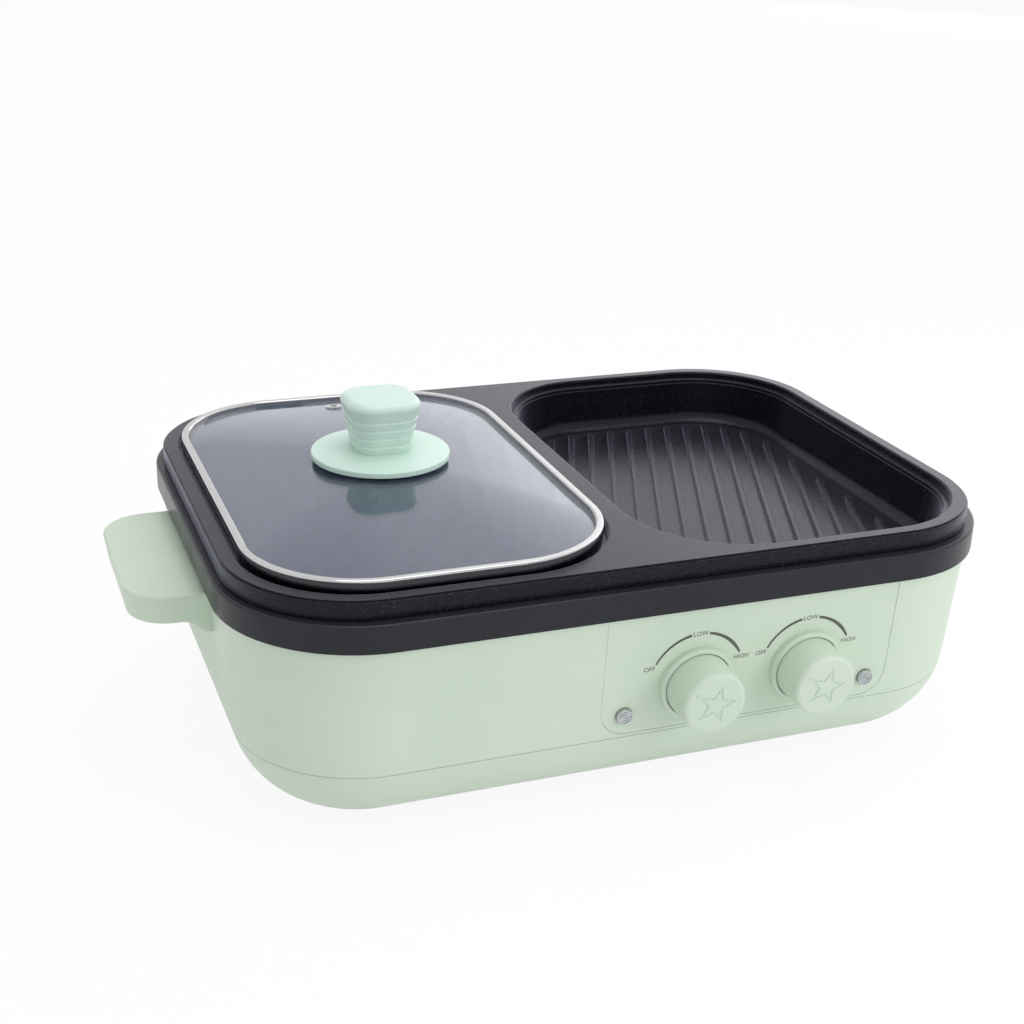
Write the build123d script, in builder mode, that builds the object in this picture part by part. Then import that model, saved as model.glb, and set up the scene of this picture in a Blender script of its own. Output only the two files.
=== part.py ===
"""Electric hot pot and grill: a drafted housing, a lift-out cast tray with a deep pot basin and a
shallow ribbed grill basin, and a loose glass lid over the pot basin. Millimetres.

Frame: +X along the length to the right, front at -Y, +Z up. The origin is on the table, under the
middle of the housing.
"""

import os
from math import atan2, cos, dist, radians, sin, sqrt, tan

from build123d import *

os.makedirs("parts", exist_ok=True)

# ---------------------------------------------------------------- driving dimensions
# housing and bottom cover
foot_height = 4.0
housing_height = 109.0  # flat bottom to the underside of the trim ring
housing_wall = 2.5
wall_draft = 3.8  # degrees
bottom_radius = 49.5
seam_height = 39.0  # flat bottom to the joint between housing and bottom cover
seam_gap = 0.3
cover_tongue = 1.6
tongue_height = 5.0
inner_fit = 0.2  # sideways room between a tongue and the wall it sits in

# trim ring
trim_length = 420.0
trim_width = 305.0
trim_corner = 73.0
trim_height = 14.3
trim_overhang = 3.0
trim_rim = 8.3
trim_plate = 3.0
trim_edge_radius = 1.5

# cooking tray
tray_inset = 6.0  # trim ring's outside to the tray's outside, at the front and the back
tray_inset_end = 4.3  # the same at the ends
tray_rim_height = 9.5
tray_gap = 0.6  # dark line under the tray's rim
tray_gap_depth = 1.2
tray_edge_radius = 0.35
tray_bead_width = 1.1  # low step around the tray's upper edge
tray_bead_drop = 0.9
tray_wall = 3.0
tray_deck = 4.0
tray_skirt = 5.0
tray_collar = 3.5
tray_floor = 3.5
rim_end = 8.35  # tray's outside to a basin's edge, at the ends
rim_side = 8.25  # the same at the front and the back
divider = 14.0
basin_corner = 60.0
basin_edge_radius = 1.3
ledge_depth = 4.2
ledge_width = 3.4
step_height = 1.9
step_width = 0.8
ledge_round = 0.5
basin_draft = 2.5  # degrees
basin_fillet = 7.5
pot_depth = 76.8
grill_depth = 32.7
rib_width = 4.3
rib_height = 2.5
rib_pitch = 12.6
rib_angle = 22.2  # degrees from the Y axis towards +X
rib_draft = 8.0
rib_round = 0.6
rib_count = 9
rib_start = 5.0  # a rib's middle line from the middle of the grill basin
rib_margin = 4.0  # floor left free around the ribs
tray_clearance = 2.0

# lid
lid_gap = 1.8
lid_ease = 2.0  # the lid's corners are rounder than the basin's by this much
rim_width = 4.0
rim_height = 9.5
rim_round = 0.9
rim_lip = 2.9  # the rim's crest over the glass
rim_skin = 1.5
glass_room = 0.05
glass_thickness = 4.0
dome_rise = 11.7
# share of the distance from the middle to the glass's edge, share of the rise
dome_profile = [
    (1.0, 0.0), (0.92, 0.155), (0.82, 0.33), (0.7, 0.512), (0.55, 0.7), (0.4, 0.843), (0.25, 0.94), (0.12, 1.0)
]
vent_radius = 2.0
vent_shift = 2.2  # vent's middle to the right of the lid's middle
grommet_wall = 1.0
grommet_flange = 5.0
grommet_lip = 0.8
grommet_room = 0.2
gasket_radius = 24.0
gasket_thickness = 0.9
disc_radius = 37.3
disc_thickness = 2.8
disc_round = 0.9
disc_crown = 1.9
disc_seat = 17.0  # radius of the flat under the knob
knob_foot = 29.2
knob_growth = 1.7  # each band starts this much wider than the one under it
knob_ledge = 0.5  # step from a band's top in to the next band's foot
knob_band = 4.7
knob_bands = 4
knob_lip = 0.9
knob_cap = 39.7
knob_corner = 9.8
knob_cap_height = 10.0
knob_cap_round = 4.0
lid_screw_radius = 2.0
lid_screw_depth = 14.0
lid_screw_head = 4.5
lid_washer_radius = 9.0
lid_washer_thickness = 1.5

# control panel
panel_centre = 51.4
panel_width = 164.5
panel_bottom = 1.7  # over the seam
panel_corner = 15.0
panel_gap = 0.18
panel_recess = 0.15
panel_lip_width = 2.0
dial_spacing = 62.6
dial_shift = 0.3  # dials' middle to the right of the panel's middle
dial_height = 65.5  # over the housing's flat bottom
lamp_inset = 12.55  # panel's side to a lamp's middle
lamp_height = 52.2
collar_radius = 20.2
collar_height = 3.7
collar_round = 1.5
knob_base_radius = 17.7
knob_face_radius = 16.9
knob_collar_gap = 0.4
knob_back = 0.7  # panel to the knob's rim
knob_reach = 22.8  # panel to the knob's face
knob_edge = 2.4
knob_wall = 1.8
knob_hub = 5.5
knob_roof = 2.2
dial_start = 148.0  # degrees, the OFF end of the dial, from +X as seen from the front
star_radius = 10.9
star_waist = 0.44
star_line = 1.1
star_depth = 0.35
dot_radius = 1.0
dot_offset = 12.0
dot_height = 0.4
shaft_radius = 3.0
shaft_flat = 0.8
flat_start = 2.0  # knob's rim to the shaft's flat
hub_entry = 3.0
shaft_clearance = 0.05
shaft_hole = 4.0
thermostat_radius = 14.5
thermostat_depth = 19.0
thermostat_plate = 1.2
plate_margin = 5.0
thermostat_screw_spacing = 20.0
thermostat_screw_bite = 4.0
tab_width = 6.3
tab_thickness = 0.8
tab_length = 8.0
tab_spacing = 12.0
screw_radius = 1.5
screw_head_radius = 2.8
screw_head_height = 1.8
screw_room = 0.05
screw_clearance = 0.3
lens_radius = 4.2
lens_recess = 4.6
lens_recess_depth = 0.5
lens_cap = 3.0
lens_edge = 0.5
lens_rings = [(3.4, 2.8), (1.9, 1.3)]  # outer and inner radius of the grooves in the face
lens_pip = 0.6
lens_groove = 0.35
lens_roof = 1.2
lens_tube_radius = 3.3
lens_tube_wall = 0.8
lens_tube_length = 6.0
lamp_length = 6.0

# carrying handles
handle_reach = 37.2  # beyond the trim ring
handle_width = 114.0
handle_thickness = 16.0
handle_drop = 3.2  # trim ring's underside to the handle's top
handle_corner = 24.0
handle_draft = 8.5  # degrees
handle_edge = 1.6
handle_wall = 3.5
gusset_run = 15.8
gusset_drop = 7.8
handle_screw_spacing = 70.0
handle_screw_length = 11.0

# heating
element_radius = 3.5
element_room = 0.5
element_length = 192.0
element_width = 116.0
element_corner = 35.0
leg_spacing = 22.0
leg_length = 27.0
leg_bend = 7.0
shield_thickness = 0.8
shield_drop = 5.0  # element's underside to the shield
shield_length = 216.0
shield_width = 140.0
shield_corner = 45.0
shield_wall = 7.0
bush_radius = 6.0
bush_flange = 8.0
bush_height = 6.0
clip_width = 11.0
clip_depth = 8.0
clip_spacing = 84.0
cutoff_radius = 4.0
cutoff_length = 16.0
boss_radius = 5.0
boss_spacing_x = 80.0
boss_spacing_y = 150.0

# bottom
foot_radius = 11.0
foot_recess = 1.5
foot_spacing_x = 270.0
foot_spacing_y = 156.0
slot_length = 40.0
slot_width = 4.0
slot_pitch = 12.0
slots_per_group = 7
lug_radius = 6.0
lug_thickness = 6.0
lug_drop = 31.5  # sideways, from the housing's outside at the seam to a lug's screw
cover_screw_bite = 5.0
post_radius = 3.0
post_length = 15.0
post_shelf = 3.0
post_spread = 120.0
post_front = 70.0
post_end_spread = 50.0
post_fit = 0.3

# mains
inlet_x = 120.0
inlet_height = 67.0
inlet_width = 30.0
inlet_tall = 24.0
inlet_depth = 20.0
inlet_flange = 4.0
inlet_flange_thickness = 2.0
inlet_wall = 2.5
inlet_corner = 4.0
inlet_fit = 0.25
pin_radius = 2.4
pin_length = 13.0
pin_pitch = 7.0
pin_tail = 6.0
block_length = 36.0
block_width = 16.0
block_height = 14.5
block_y = 70.0
wire_radius = 1.2
wire_bend = 6.0
wire_gap = 0.2
wire_rise = 14.0

# ---------------------------------------------------------------- levels and derived sizes
slope = tan(radians(wall_draft))
z_base = foot_height
z_seam = z_base + seam_height
z_trim = z_base + housing_height
z_trim_top = z_trim + trim_height
z_rim_under = z_trim_top + tray_gap
z_tray_top = z_rim_under + tray_rim_height
z_ledge = z_tray_top - ledge_depth
housing_length = trim_length - 2 * trim_overhang
housing_width = trim_width - 2 * trim_overhang
housing_corner = trim_corner - trim_overhang
tray_length = trim_length - 2 * tray_inset_end
tray_width = trim_width - 2 * tray_inset
tray_corner = trim_corner - tray_inset
basin_x = (tray_length - 2 * rim_end - divider) / 2
basin_y = tray_width - 2 * rim_side
basin_offset = (divider + basin_x) / 2
pot_x, grill_x = -basin_offset, basin_offset
lower_inset = ledge_width + step_width  # a basin's edge to its drafted wall
opening_room = lower_inset - tray_wall - tray_clearance
opening_length = tray_length - 2 * (rim_end + opening_room)
opening_width = tray_width - 2 * (rim_side + opening_room)
opening_corner = basin_corner - opening_room
z_pot_under = z_tray_top - pot_depth - tray_floor
z_grill_under = z_tray_top - grill_depth - tray_floor
lid_x = basin_x - 2 * lid_gap
lid_y = basin_y - 2 * lid_gap
lid_corner = basin_corner - lid_gap + lid_ease
z_crest = z_ledge + rim_height
z_glass = z_crest - rim_lip
z_glass_top = z_glass + dome_rise
z_gasket = z_glass_top + gasket_thickness
z_disc = z_gasket + disc_thickness + disc_crown
z_neck = z_disc + knob_bands * knob_band
z_knob = z_neck + knob_cap_height
handle_x = trim_length / 2 + handle_reach
z_handle = z_trim - handle_drop
z_handle_under = z_handle - handle_thickness
z_gusset = z_handle_under - gusset_drop
dials_middle = panel_centre + dial_shift
dial_places = [dials_middle - dial_spacing / 2, dials_middle + dial_spacing / 2]
lamp_reach = panel_width / 2 - lamp_inset
lamp_places = [panel_centre - lamp_reach, panel_centre + lamp_reach]
sides = ["left", "right"]


def wall_y(z):
    """Distance from the XZ plane to the housing's outside at the front and the back, at a level."""
    return housing_width / 2 - (z_trim - z) * slope


def front_plane(x, z, proud=0.0):
    """Plane on the housing's front wall at x and z, moved outwards by proud, facing out."""
    outward = Vector(0, -cos(radians(wall_draft)), -sin(radians(wall_draft)))
    return Plane(Vector(x, -wall_y(z), z) + outward * proud, x_dir=(1, 0, 0), z_dir=outward)


def back_plane(x, z, proud=0.0):
    """Plane on the housing's back wall at x and z, moved outwards by proud, facing out."""
    outward = Vector(0, cos(radians(wall_draft)), -sin(radians(wall_draft)))
    return Plane(Vector(x, wall_y(z), z) + outward * proud, x_dir=(-1, 0, 0), z_dir=outward)


def tub(inset):
    """Solid inside the housing's outer surface, with its walls and bottom moved in by inset."""
    side = inset / cos(radians(wall_draft))
    with BuildPart() as solid:
        with BuildSketch(Plane.XY.offset(z_trim)):
            RectangleRounded(housing_length - 2 * side, housing_width - 2 * side, housing_corner - side)
        extrude(amount=inset - housing_height, taper=wall_draft)
        fillet(solid.faces().sort_by(Axis.Z)[0].edges(), bottom_radius - inset)
    return solid.part


def basin(centre_x, z_floor, grow, top):
    """Drafted basin from the level top down to z_floor, larger than the inner wall by grow."""
    with BuildPart() as solid:
        with BuildSketch(Plane.XY.offset(top)):
            with Locations((centre_x, 0)):
                RectangleRounded(
                    basin_x - 2 * (lower_inset - grow),
                    basin_y - 2 * (lower_inset - grow),
                    basin_corner - lower_inset + grow,
                )
        extrude(amount=z_floor - top, taper=basin_draft)
        fillet(solid.faces().sort_by(Axis.Z)[0].edges(), basin_fillet + grow)
    return solid.part


def floor_inset(depth):
    """Basin's edge to the flat part of its floor, sideways."""
    return lower_inset + depth * tan(radians(basin_draft)) + basin_fillet


# ---------------------------------------------------------------- places shared by several pieces
z_panel = z_seam + panel_bottom
panel_tall = z_trim - z_panel
z_post = z_trim - post_length
z_shelf = z_post - post_shelf
post_inset = trim_overhang + post_length * slope + housing_wall + post_fit + post_radius
post_x = trim_length / 2 - post_inset
post_y = trim_width / 2 - post_inset
post_spots = [(x, post_y) for x in (-post_spread, 0, post_spread)]
post_spots += [(x, -post_y) for x in (-post_spread, -post_front)]
post_spots += [(side * post_x, y) for side in (-1, 1) for y in (-post_end_spread, post_end_spread)]

seam_inset = (z_trim - z_seam) * slope
corner_x = housing_length / 2 - housing_corner
corner_y = housing_width / 2 - housing_corner
lug_reach = housing_corner - seam_inset - lug_drop
# screw and outward direction of each lug: the four corners and the middle of the back
lugs = [
    (Vector(side_x * corner_x, side_y * corner_y), Vector(side_x, side_y).normalized())
    for side_x in (-1, 1)
    for side_y in (-1, 1)
]
lugs = [(centre + outward * lug_reach, outward) for centre, outward in lugs]
lugs += [(Vector(0, housing_width / 2 - seam_inset - lug_drop), Vector(0, 1))]
lug_spots = [(spot.X, spot.Y) for spot, outward in lugs]
z_lug = z_seam + tongue_height + seam_gap

z_floor = z_base + housing_wall
z_pot_element = z_pot_under - element_room - element_radius
z_grill_element = z_grill_under - element_room - element_radius
z_pot_shield = z_pot_element - element_radius - shield_drop
z_grill_shield = z_grill_element - element_radius - shield_drop
heaters = [("pot", pot_x, z_pot_element, z_pot_shield), ("grill", grill_x, z_grill_element, z_grill_shield)]
boss_steps = [
    (side_x * boss_spacing_x / 2, side_y * boss_spacing_y / 2) for side_x in (-1, 1) for side_y in (-1, 1)
]
foot_spots = [
    (side_x * foot_spacing_x / 2, side_y * foot_spacing_y / 2) for side_x in (-1, 1) for side_y in (-1, 1)
]
z_handle_screw = z_handle_under + handle_thickness / 2
handle_screw_spots = [(-handle_screw_spacing / 2, z_handle_screw), (handle_screw_spacing / 2, z_handle_screw)]

outer_tub = tub(0)
inner_tub = tub(housing_wall)


def window(grow):
    """Prism through the front wall in the control panel's outline, larger by grow."""
    with BuildPart() as solid:
        with BuildSketch(Plane.XZ):
            with Locations((panel_centre, z_trim)):
                RectangleRounded(
                    panel_width + 2 * grow, 2 * (panel_tall + grow), panel_corner + grow
                )
        extrude(amount=trim_width)
    return solid.part


def lug_arms():
    """Flat arms from the housing's wall inwards to the cover screws, just over the seam."""
    with BuildPart() as solid:
        with BuildSketch(Plane.XY.offset(z_lug)):
            for spot, outward in lugs:
                SlotCenterPoint(
                    center=spot + outward * lug_drop / 2,
                    point=spot + outward * lug_drop,
                    height=2 * lug_radius,
                )
        extrude(amount=lug_thickness)
        add(outer_tub, mode=Mode.INTERSECT)
    return solid.part


# ---------------------------------------------------------------- housing
panel_window = window(0)
arms = lug_arms()

with BuildPart() as housing:
    add(outer_tub)
    add(inner_tub, mode=Mode.SUBTRACT)
    split(bisect_by=Plane.XY.offset(z_seam), keep=Keep.TOP)
    add(panel_window, mode=Mode.SUBTRACT)
    add(arms)
    # shelves under the trim ring's posts
    with BuildSketch(Plane.XY.offset(z_shelf)):
        with Locations(*post_spots):
            Rectangle(3 * post_radius, 3 * post_radius)
    extrude(amount=post_shelf)
    add(outer_tub, mode=Mode.INTERSECT)
    with BuildSketch(Plane.XY.offset(z_lug)):
        with Locations(*lug_spots):
            Circle(screw_radius + screw_room)
    extrude(amount=lug_thickness, mode=Mode.SUBTRACT)
    with BuildSketch(Plane.XY.offset(z_shelf)):
        with Locations(*post_spots):
            Circle(screw_radius + screw_clearance)
    extrude(amount=post_shelf, mode=Mode.SUBTRACT)
    # inlet window and handle screw holes
    with BuildSketch(back_plane(inlet_x, z_base + inlet_height)):
        RectangleRounded(inlet_width + 2 * inlet_fit, inlet_tall + 2 * inlet_fit, inlet_corner)
    extrude(amount=2 * housing_wall, both=True, mode=Mode.SUBTRACT)
    with BuildSketch(Plane.YZ):
        with Locations(*handle_screw_spots):
            Circle(screw_radius + screw_clearance)
    extrude(amount=trim_length, both=True, mode=Mode.SUBTRACT)
housing.part.label = "housing"
export_step(housing.part, "parts/housing.step")

# ---------------------------------------------------------------- trim ring
with BuildPart() as trim_ring:
    with BuildSketch(Plane.XY.offset(z_trim)):
        RectangleRounded(trim_length, trim_width, trim_corner)
    extrude(amount=trim_height)
    fillet(trim_ring.faces().sort_by(Axis.Z)[-1].edges(), trim_edge_radius)
    with BuildSketch(Plane.XY.offset(z_trim)):
        RectangleRounded(
            trim_length - 2 * trim_rim, trim_width - 2 * trim_rim, trim_corner - trim_rim
        )
    extrude(amount=trim_height - trim_plate, mode=Mode.SUBTRACT)
    with BuildSketch(Plane.XY.offset(z_trim)):
        RectangleRounded(opening_length, opening_width, opening_corner)
    extrude(amount=trim_height, mode=Mode.SUBTRACT)
    # posts down to the housing's shelves
    with BuildSketch(Plane.XY.offset(z_post)):
        with Locations(*post_spots):
            Circle(post_radius)
            Circle(screw_radius + screw_room, mode=Mode.SUBTRACT)
    extrude(amount=post_length + trim_height - trim_plate)
trim_ring.part.label = "trim_ring"
export_step(trim_ring.part, "parts/trim_ring.step")

with BuildPart() as trim_screws:
    with BuildSketch(Plane.XY.offset(z_shelf)):
        with Locations(*post_spots):
            Circle(screw_radius)
    extrude(amount=post_length)
    with BuildSketch(Plane.XY.offset(z_shelf)):
        with Locations(*post_spots):
            Circle(screw_head_radius)
    extrude(amount=-screw_head_height)
trim_screws.part.label = "trim_screws"
export_step(trim_screws.part, "parts/trim_screws.step")

# ---------------------------------------------------------------- bottom cover
tongue_outer = tub(housing_wall + inner_fit)
tongue_inner = tub(housing_wall + inner_fit + cover_tongue)
tongue_root = tub(housing_wall / 2)
z_cover = z_seam - seam_gap


def band(outer, inner, low, high):
    """Ring between two tubs from the level low to the level high."""
    with BuildPart() as solid:
        add(outer)
        add(inner, mode=Mode.SUBTRACT)
        split(bisect_by=Plane.XY.offset(low), keep=Keep.TOP)
        split(bisect_by=Plane.XY.offset(high), keep=Keep.BOTTOM)
    return solid.part


notch = window(panel_lip_width + panel_gap)
full_tongue = band(tongue_outer, tongue_inner, z_cover - tongue_height, z_seam + tongue_height)
root = band(tongue_root, tongue_inner, z_cover - tongue_height, z_cover)

# the tongue stops at the sides of the control panel
with BuildPart() as tongue:
    add(full_tongue)
    add(notch, mode=Mode.SUBTRACT)

with BuildPart() as bottom_cover:
    add(outer_tub)
    add(inner_tub, mode=Mode.SUBTRACT)
    split(bisect_by=Plane.XY.offset(z_cover), keep=Keep.BOTTOM)
    add(root)
    add(tongue.part)
    # tubes for the cover screws
    with BuildSketch(Plane.XY.offset(z_base)):
        with Locations(*lug_spots):
            Circle(boss_radius)
    extrude(amount=z_lug - z_base)
    # bosses that carry the heat shields
    for name, centre, z_element, z_shield in heaters:
        with BuildSketch(Plane.XY.offset(z_base)):
            with Locations(*[(centre + x, y) for x, y in boss_steps]):
                Circle(boss_radius)
        extrude(amount=z_shield - shield_thickness - z_base)
    # stand for the terminal block
    with BuildSketch(Plane.XY.offset(z_base)):
        with Locations((grill_x, block_y)):
            Rectangle(block_length, block_width)
    extrude(amount=2 * housing_wall)
    add(outer_tub, mode=Mode.INTERSECT)
    with BuildSketch(Plane.XY):
        with Locations(*lug_spots):
            Circle(screw_head_radius + screw_clearance)
    extrude(amount=z_lug - cover_screw_bite, mode=Mode.SUBTRACT)
    with BuildSketch(Plane.XY):
        with Locations(*lug_spots):
            Circle(screw_radius + screw_clearance)
    extrude(amount=z_lug, mode=Mode.SUBTRACT)
    for name, centre, z_element, z_shield in heaters:
        with BuildSketch(Plane.XY.offset(z_shield - shield_thickness)):
            with Locations(*[(centre + x, y) for x, y in boss_steps]):
                Circle(screw_radius + screw_room)
        extrude(amount=-2 * cover_screw_bite, mode=Mode.SUBTRACT)
    # recesses for the feet and slots for air
    with BuildSketch(Plane.XY.offset(z_base)):
        with Locations(*foot_spots):
            Circle(foot_radius + inner_fit)
    extrude(amount=foot_recess, mode=Mode.SUBTRACT)
    with BuildSketch(Plane.XY.offset(z_base)):
        for centre in (pot_x / 2 - slot_pitch, grill_x / 2 - slot_pitch):
            with Locations((centre, 0)):
                with GridLocations(slot_pitch, 1, slots_per_group, 1):
                    SlotOverall(slot_length, slot_width, rotation=90)
    extrude(amount=housing_wall, mode=Mode.SUBTRACT)
bottom_cover.part.label = "bottom_cover"
export_step(bottom_cover.part, "parts/bottom_cover.step")

with BuildPart() as cover_screws:
    with BuildSketch(Plane.XY.offset(z_lug - cover_screw_bite)):
        with Locations(*lug_spots):
            Circle(screw_radius)
    extrude(amount=2 * cover_screw_bite)
    with BuildSketch(Plane.XY.offset(z_lug - cover_screw_bite)):
        with Locations(*lug_spots):
            Circle(screw_head_radius)
    extrude(amount=-screw_head_height)
cover_screws.part.label = "cover_screws"
export_step(cover_screws.part, "parts/cover_screws.step")

with BuildPart() as feet:
    with BuildSketch():
        with Locations(*foot_spots):
            Circle(foot_radius)
    extrude(amount=foot_height + foot_recess)
    chamfer(feet.faces().filter_by(Plane.XY).group_by(Axis.Z)[0].edges(), 1)
feet.part.label = "feet"
export_step(feet.part, "parts/feet.step")


# ---------------------------------------------------------------- control panel
def plug(outer, inner, grow):
    """Piece of the wall between two tubs inside the control panel's outline, larger by grow."""
    prism = window(grow)
    with BuildPart() as solid:
        add(outer)
        add(inner, mode=Mode.SUBTRACT)
        add(prism, mode=Mode.INTERSECT)
        split(bisect_by=Plane.XY.offset(z_trim - panel_gap), keep=Keep.BOTTOM)
    return solid.part


panel_skin = plug(tub(panel_recess), tub(panel_recess + housing_wall), -panel_gap)
panel_lip = plug(tub(housing_wall + inner_fit), tub(panel_recess + 2 * housing_wall), panel_lip_width)
thermostat_screw_spots = [(-thermostat_screw_spacing / 2, 0), (thermostat_screw_spacing / 2, 0)]

with BuildPart() as control_panel:
    add(panel_skin)
    add(panel_lip)
    for x in dial_places:
        with BuildSketch(front_plane(x, z_base + dial_height, -panel_recess - housing_wall / 2)):
            Circle(collar_radius)
        extrude(amount=collar_height + housing_wall / 2)
    collars = control_panel.faces().filter_by(GeomType.PLANE).sort_by(Axis.Y)[:2]
    fillet([edge for face in collars for edge in face.edges()], collar_round)
    for x in dial_places:
        with BuildSketch(front_plane(x, z_base + dial_height, -panel_recess)):
            Circle(knob_base_radius + knob_collar_gap)
        extrude(amount=2 * collar_height, mode=Mode.SUBTRACT)
        with BuildSketch(front_plane(x, z_base + dial_height)):
            Circle(shaft_hole)
            with Locations(*thermostat_screw_spots):
                Circle(screw_radius + screw_clearance)
        extrude(amount=-3 * housing_wall, mode=Mode.SUBTRACT)
    for x in lamp_places:
        with BuildSketch(front_plane(x, z_base + lamp_height)):
            Circle(lens_recess)
        extrude(amount=-panel_recess - lens_recess_depth, mode=Mode.SUBTRACT)
        with BuildSketch(front_plane(x, z_base + lamp_height)):
            Circle(lens_tube_radius + knob_collar_gap / 2)
        extrude(amount=-3 * housing_wall, mode=Mode.SUBTRACT)
control_panel.part.label = "control_panel"
export_step(control_panel.part, "parts/control_panel.step")



def star(radius):
    """Plain five-pointed star with one tip towards the dial's start."""
    tips = [
        ((radius if k % 2 == 0 else radius * star_waist), radians(dial_start + 36 * k)) for k in range(10)
    ]
    with BuildSketch() as outline:
        with BuildLine():
            Polyline(*[(reach * cos(angle), reach * sin(angle)) for reach, angle in tips], close=True)
        make_face()
    return outline.sketch


panel_back = panel_recess + 2 * housing_wall  # housing's outside to the back of the panel
for side, x in zip(sides, dial_places):
    with BuildPart() as thermostat:
        with BuildSketch(front_plane(x, z_base + dial_height, -panel_back)):
            SlotOverall(thermostat_screw_spacing + 2 * plate_margin, thermostat_radius)
            Circle(thermostat_radius)
        extrude(amount=-thermostat_plate)
        with BuildSketch(front_plane(x, z_base + dial_height, -panel_back)):
            Circle(thermostat_radius)
        extrude(amount=-thermostat_depth)
        with BuildSketch(front_plane(x, z_base + dial_height, -panel_back)):
            Circle(shaft_radius + shaft_clearance)
            with Locations(*thermostat_screw_spots):
                Circle(screw_radius + screw_room)
        extrude(amount=-thermostat_depth / 2, mode=Mode.SUBTRACT)
    thermostat.part.label = "thermostat_" + side
    export_step(thermostat.part, "parts/thermostat_" + side + ".step")

    with BuildPart() as thermostat_shaft:
        with BuildSketch(front_plane(x, z_base + dial_height, -panel_back - thermostat_depth / 2 + 1)):
            Circle(shaft_radius)
        extrude(amount=panel_back + thermostat_depth / 2 - 1 - panel_recess + knob_reach - knob_roof - 1)
        with BuildSketch(front_plane(x, z_base + dial_height, knob_back + flat_start)):
            with Locations((0, shaft_radius)):
                Rectangle(2 * shaft_radius, 2 * shaft_flat)
        extrude(amount=knob_reach, mode=Mode.SUBTRACT)
    thermostat_shaft.part.label = "thermostat_shaft_" + side
    export_step(thermostat_shaft.part, "parts/thermostat_shaft_" + side + ".step")

    face_plane = front_plane(x, z_base + dial_height, knob_reach - panel_recess)
    back_face = front_plane(x, z_base + dial_height, knob_back - panel_recess)
    with BuildPart() as control_knob:
        with BuildSketch(back_face):
            Circle(knob_base_radius)
        with BuildSketch(face_plane):
            Circle(knob_face_radius)
        loft()
        fillet(control_knob.faces().sort_by(Axis.Y)[0].edges(), knob_edge)
        with BuildSketch(back_face):
            Circle(knob_base_radius - knob_wall)
        with BuildSketch(back_face.offset(knob_reach - knob_back - knob_roof)):
            Circle(knob_face_radius - knob_wall)
        loft(mode=Mode.SUBTRACT)
        with BuildSketch(back_face):
            Circle(knob_hub)
        extrude(amount=knob_reach - knob_back - knob_roof / 2)
        with BuildSketch(back_face):
            Circle(shaft_radius + shaft_clearance)
            with Locations((0, shaft_radius + shaft_clearance)):
                Rectangle(2 * knob_hub, 2 * shaft_flat, mode=Mode.SUBTRACT)
        extrude(amount=knob_reach - knob_back - knob_roof - 0.5, mode=Mode.SUBTRACT)
        with BuildSketch(back_face):
            Circle(shaft_radius + shaft_clearance)
        extrude(amount=hub_entry, mode=Mode.SUBTRACT)
        # five-pointed outline and pointer dot on the face
        with BuildSketch(face_plane):
            add(star(star_radius))
            add(star(star_radius - 2.6 * star_line), mode=Mode.SUBTRACT)
        extrude(amount=-star_depth, mode=Mode.SUBTRACT)
        with BuildSketch(face_plane):
            with PolarLocations(dot_offset, 1, start_angle=dial_start):
                Circle(dot_radius)
        extrude(amount=dot_height)
    control_knob.part.label = "control_knob_" + side
    export_step(control_knob.part, "parts/control_knob_" + side + ".step")

with BuildPart() as thermostat_screws:
    for x in dial_places:
        with BuildSketch(front_plane(x, z_base + dial_height, -panel_recess)):
            with Locations(*thermostat_screw_spots):
                Circle(screw_radius)
        extrude(amount=panel_recess - panel_back - thermostat_screw_bite)
        with BuildSketch(front_plane(x, z_base + dial_height, -panel_recess)):
            with Locations(*thermostat_screw_spots):
                Circle(screw_head_radius)
        extrude(amount=screw_head_height)
thermostat_screws.part.label = "thermostat_screws"
export_step(thermostat_screws.part, "parts/thermostat_screws.step")

with BuildPart() as thermostat_tabs:
    for x in dial_places:
        with BuildSketch(front_plane(x, z_base + dial_height, -panel_back - thermostat_depth)):
            with GridLocations(tab_spacing, 1, 2, 1):
                Rectangle(tab_thickness, tab_width)
        extrude(amount=-tab_length)
thermostat_tabs.part.label = "thermostat_tabs"
export_step(thermostat_tabs.part, "parts/thermostat_tabs.step")

for side, x in zip(sides, lamp_places):
    lens_seat = front_plane(x, z_base + lamp_height, -panel_recess - lens_recess_depth)
    with BuildPart() as indicator_lens:
        with BuildSketch(lens_seat):
            Circle(lens_radius)
        extrude(amount=lens_cap)
        fillet(indicator_lens.faces().sort_by(Axis.Y)[0].edges(), lens_edge)
        # rings and a pip sunk in the face
        with BuildSketch(lens_seat.offset(lens_cap)):
            for outer, inner in lens_rings:
                Circle(outer)
                Circle(inner, mode=Mode.SUBTRACT)
            Circle(lens_pip)
        extrude(amount=-lens_groove, mode=Mode.SUBTRACT)
        with BuildSketch(lens_seat):
            Circle(lens_tube_radius)
        extrude(amount=-housing_wall - lens_tube_length)
        with BuildSketch(lens_seat.offset(lens_cap - lens_groove - lens_roof)):
            Circle(lens_tube_radius - lens_tube_wall)
        extrude(amount=-housing_wall - lens_tube_length - lens_cap, mode=Mode.SUBTRACT)
    indicator_lens.part.label = "indicator_lens_" + side
    export_step(indicator_lens.part, "parts/indicator_lens_" + side + ".step")

with BuildPart() as indicator_lamps:
    for x in lamp_places:
        with BuildSketch(
            front_plane(x, z_base + lamp_height, -panel_recess - lens_recess_depth - 1.5)
        ):
            Circle(lens_tube_radius - lens_tube_wall - shaft_clearance)
        extrude(amount=-lamp_length)
indicator_lamps.part.label = "indicator_lamps"
export_step(indicator_lamps.part, "parts/indicator_lamps.step")

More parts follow.
